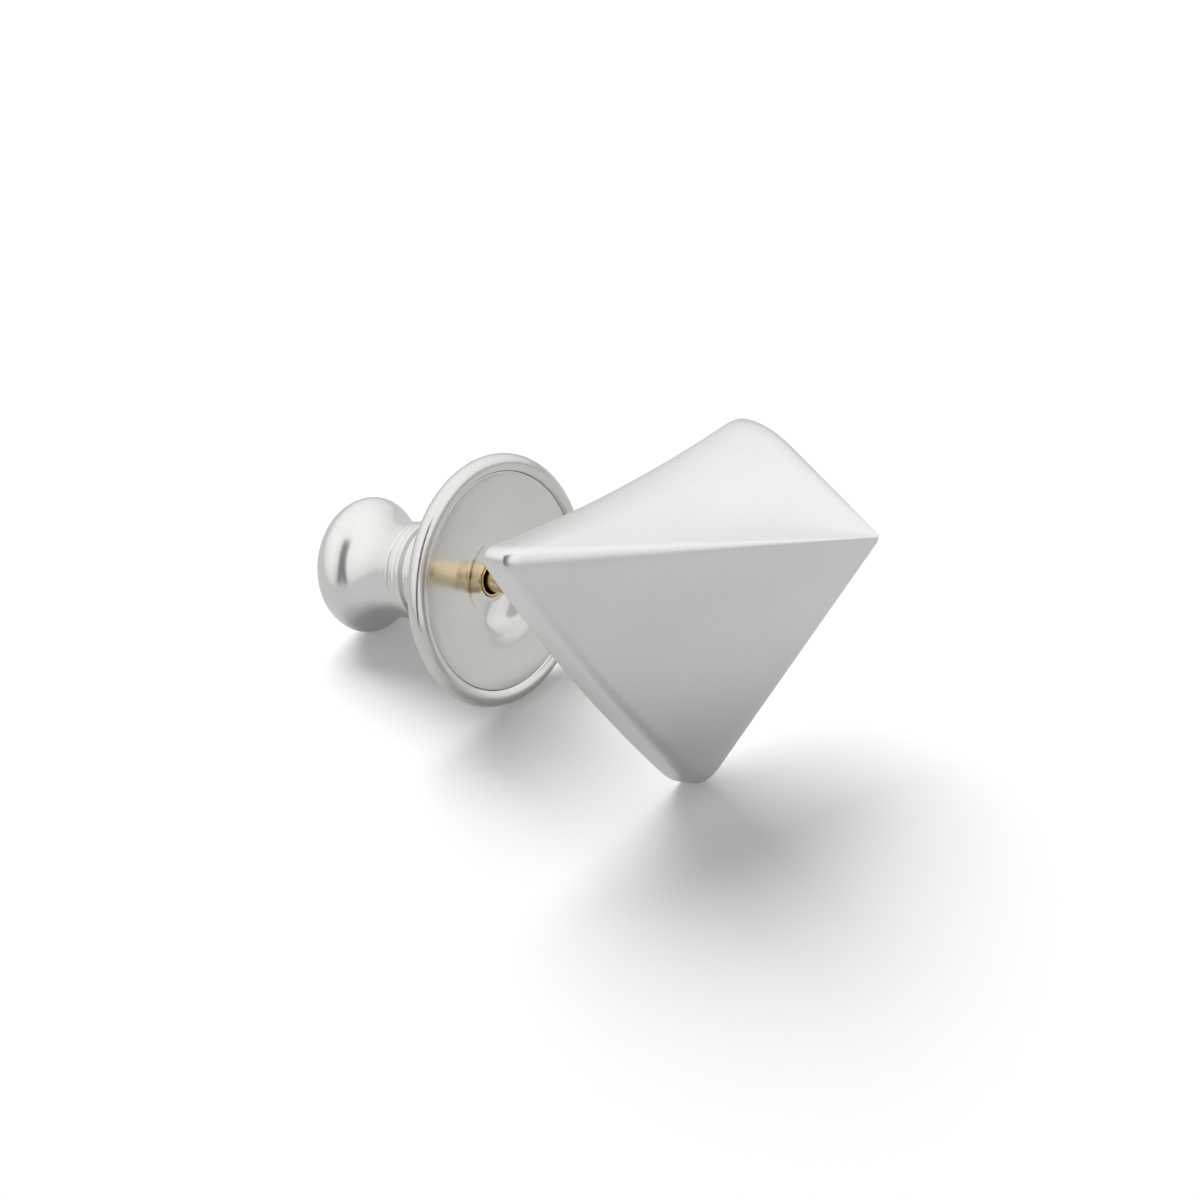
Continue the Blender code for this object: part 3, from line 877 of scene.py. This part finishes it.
def seen_directly(wiring: Wiring) -> bpy.types.NodeSocket:
    """A mask that is 1 for camera and transmission rays, and 0 for reflections and the light's own paths."""
    path = wiring.add("ShaderNodeLightPath").outputs
    return wiring.maths("MAXIMUM", path["Is Camera Ray"], path["Is Transmission Ray"])


@dataclass
class Studio:
    """White table, white surroundings, one soft key from behind, a dark card, and the camera."""

    azimuth: float = 37.12
    elevation: float = 37.9
    lens: float = 250.0
    view_width: float = 48.0 * MM
    aim_right: float = 3.84 * MM
    aim_up: float = -0.76 * MM
    table_size: float = 1.2
    painted_light_reach: float = 60 * MM  # painted light: the table is painted palest within this distance
    painted_dim_reach: float = 130 * MM  # and painted darkest from here on, a painted fall-off of light
    painted_light_colour: float = 0.90
    painted_dim_colour: float = 0.38
    table_glow: float = 0.12
    # painted shade: how much darker the table's colour is in reflections
    painted_reflection_shade: float = 0.42
    key_energy: float = 18.6
    key_size: float = 1.05
    key_distance: float = 1.2
    key_rise: float = 45.0
    key_left: float = 4.5
    key_behind: float = 10.0
    world_fill: float = 0.27
    horizon: float = 0.86
    zenith: float = 1.15
    horizon_level: float = -0.1
    zenith_level: float = 0.9
    flag_direction: tuple[float, float, float] = (0.53, -0.62, 0.58)
    flag_run: tuple[float, float, float] = (-0.29, 0.70, 0.65)
    flag_distance: float = 28 * MM
    flag_width: float = 7 * MM
    flag_length: float = 34 * MM

    def camera_axes(self) -> tuple[Vector, Vector, Vector]:
        """The camera's right, up and backward directions in the world."""
        turn, rise = math.radians(self.azimuth), math.radians(self.elevation)
        back = Vector((math.sin(turn) * math.cos(rise), -math.cos(turn) * math.cos(rise), math.sin(rise)))
        right = Vector((0, 0, 1)).cross(back).normalized()
        return right, back.cross(right), back

    def camera(self) -> None:
        """Aim a long lens at the tack."""
        right, up, back = self.camera_axes()
        data = bpy.data.cameras.new("camera")
        data.lens = self.lens
        data.clip_start = 0.01
        data.clip_end = 10
        distance = self.view_width * self.lens / data.sensor_width
        target = PIN.origin + right * self.aim_right + up * self.aim_up
        camera = bpy.data.objects.new("camera", data)
        camera.matrix_world = Matrix.Translation(target + back * distance) @ Matrix(
            (right, up, back)).transposed().to_4x4()
        bpy.context.scene.collection.objects.link(camera)
        bpy.context.scene.camera = camera

    def table(self) -> None:
        """A pale table that keeps the tack's shadow, its colour painted darker away from the tack as a
        painted fall-off of light, and darker still in reflections as painted shade.
        """
        shape = bmesh.new()
        bmesh.ops.create_grid(shape, x_segments=8, y_segments=8, size=self.table_size)
        mesh = bpy.data.meshes.new("table")
        shape.to_mesh(mesh)
        shape.free()
        table = bpy.data.objects.new("table", mesh)
        bpy.context.scene.collection.objects.link(table)
        material = bpy.data.materials.new("white_table")
        material.use_nodes = True
        wiring = Wiring(material.node_tree)
        shader = material.node_tree.nodes["Principled BSDF"]
        shader.inputs["Roughness"].default_value = 0.9
        shader.inputs["Specular IOR Level"].default_value = 0.0
        shader.inputs["Emission Color"].default_value = (1, 1, 1, 1)
        place = wiring.add("ShaderNodeTexCoord").outputs["Object"]
        reach = wiring.add("ShaderNodeVectorMath", operation="LENGTH")
        wiring.link(place, reach.inputs[0])
        # painted fall-off of light: the table's colour darkens with distance from the tack
        painted_falloff = wiring.add("ShaderNodeMapRange", interpolation_type="SMOOTHSTEP")
        painted_falloff.inputs["From Min"].default_value = self.painted_light_reach
        painted_falloff.inputs["From Max"].default_value = self.painted_dim_reach
        painted_falloff.inputs["To Min"].default_value = self.painted_light_colour
        painted_falloff.inputs["To Max"].default_value = self.painted_dim_colour
        wiring.link(reach.outputs["Value"], painted_falloff.inputs["Value"])
        # painted shade: the table's colour is darker in reflections than where it is seen directly
        mirrored = wiring.add("ShaderNodeLightPath").outputs["Is Glossy Ray"]
        reflection_shade_share = wiring.maths("MULTIPLY", mirrored, self.painted_reflection_shade)
        kept = wiring.maths("SUBTRACT", 1.0, reflection_shade_share)
        wiring.link(wiring.maths("MULTIPLY", painted_falloff.outputs["Result"], kept), shader.inputs["Base Color"])
        seen = wiring.maths("MAXIMUM", seen_directly(wiring), mirrored)
        glow = wiring.maths("MULTIPLY", seen, self.table_glow)
        wiring.link(glow, shader.inputs["Emission Strength"])
        mesh.materials.append(material)

    def key(self) -> None:
        """The key light, behind the tack and a little to its left."""
        right, _, back = self.camera_axes()
        level_back = Vector((back.x, back.y, 0)).normalized()
        level = (-right * self.key_left - level_back * self.key_behind).normalized()
        rise = math.radians(self.key_rise)
        toward = level * math.cos(rise) + Vector((0, 0, math.sin(rise)))
        data = bpy.data.lights.new("key", "AREA")
        data.shape = "DISK"
        data.size = self.key_size
        data.energy = self.key_energy
        key = bpy.data.objects.new("key", data)
        key.location = toward * self.key_distance
        key.rotation_euler = toward.to_track_quat("Z", "Y").to_euler()
        key.visible_glossy = False
        bpy.context.scene.collection.objects.link(key)

    def flag(self) -> None:
        """A narrow dark card in front, seen only as the dark line in the polished bell."""
        toward = Vector(self.flag_direction).normalized()
        run = Vector(self.flag_run)
        run = (run - toward * run.dot(toward)).normalized()
        shape = bmesh.new()
        bmesh.ops.create_grid(shape, x_segments=4, y_segments=4, size=0.5)
        shape.transform(Matrix.Diagonal((self.flag_width, self.flag_length, 1, 1)))
        mesh = bpy.data.meshes.new("dark_flag")
        shape.to_mesh(mesh)
        shape.free()
        flag = bpy.data.objects.new("dark_flag", mesh)
        bell_end = PIN.origin + PIN.along * PullKnob.floor
        flag.matrix_world = Matrix.Translation(bell_end + toward * self.flag_distance) @ Matrix(
            (run.cross(toward), run, toward)).transposed().to_4x4()
        bpy.context.scene.collection.objects.link(flag)
        flag.visible_camera = False
        flag.visible_diffuse = False
        flag.visible_shadow = False
        material = bpy.data.materials.new("black_card")
        material.use_nodes = True
        shader = material.node_tree.nodes["Principled BSDF"]
        shader.inputs["Base Color"].default_value = (0.02, 0.02, 0.02, 1)
        shader.inputs["Roughness"].default_value = 1.0
        mesh.materials.append(material)

    def world(self) -> None:
        """White surroundings: full white where they are seen, gentler as a light."""
        world = bpy.data.worlds.new("studio")
        bpy.context.scene.world = world
        world.use_nodes = True
        wiring = Wiring(world.node_tree)
        background = world.node_tree.nodes["Background"]
        background.inputs["Color"].default_value = (1, 1, 1, 1)
        place = wiring.add("ShaderNodeTexCoord").outputs["Generated"]
        height = wiring.add("ShaderNodeSeparateXYZ")
        wiring.link(place, height.inputs[0])
        rise = wiring.add("ShaderNodeMapRange", interpolation_type="SMOOTHSTEP")
        rise.inputs["From Min"].default_value = self.horizon_level
        rise.inputs["From Max"].default_value = self.zenith_level
        rise.inputs["To Min"].default_value = self.horizon
        rise.inputs["To Max"].default_value = self.zenith
        wiring.link(height.outputs["Z"], rise.inputs["Value"])
        path = wiring.add("ShaderNodeLightPath").outputs
        through = wiring.maths("MAXIMUM", path["Is Camera Ray"], path["Is Transmission Ray"])
        shine = wiring.maths("MULTIPLY", path["Is Glossy Ray"], rise.outputs["Result"])
        seen = wiring.maths("MAXIMUM", through, shine)
        wiring.link(wiring.maths("MAXIMUM", seen, self.world_fill), background.inputs["Strength"])

    def build(self) -> None:
        """Set the stage."""
        bpy.context.scene.view_settings.view_transform = "Standard"
        self.camera()
        self.table()
        self.key()
        self.flag()
        self.world()


def main() -> None:
    """Build the tack's pieces, then the stage that they lie on."""
    logging.basicConfig(level=logging.INFO)
    for part in (Ornament(), Pin(), Clutch(), PullKnob(), LockWorks(), Studio()):
        part.build()
        log.info("built %s", type(part).__name__)


if __name__ == "__main__":
    main()
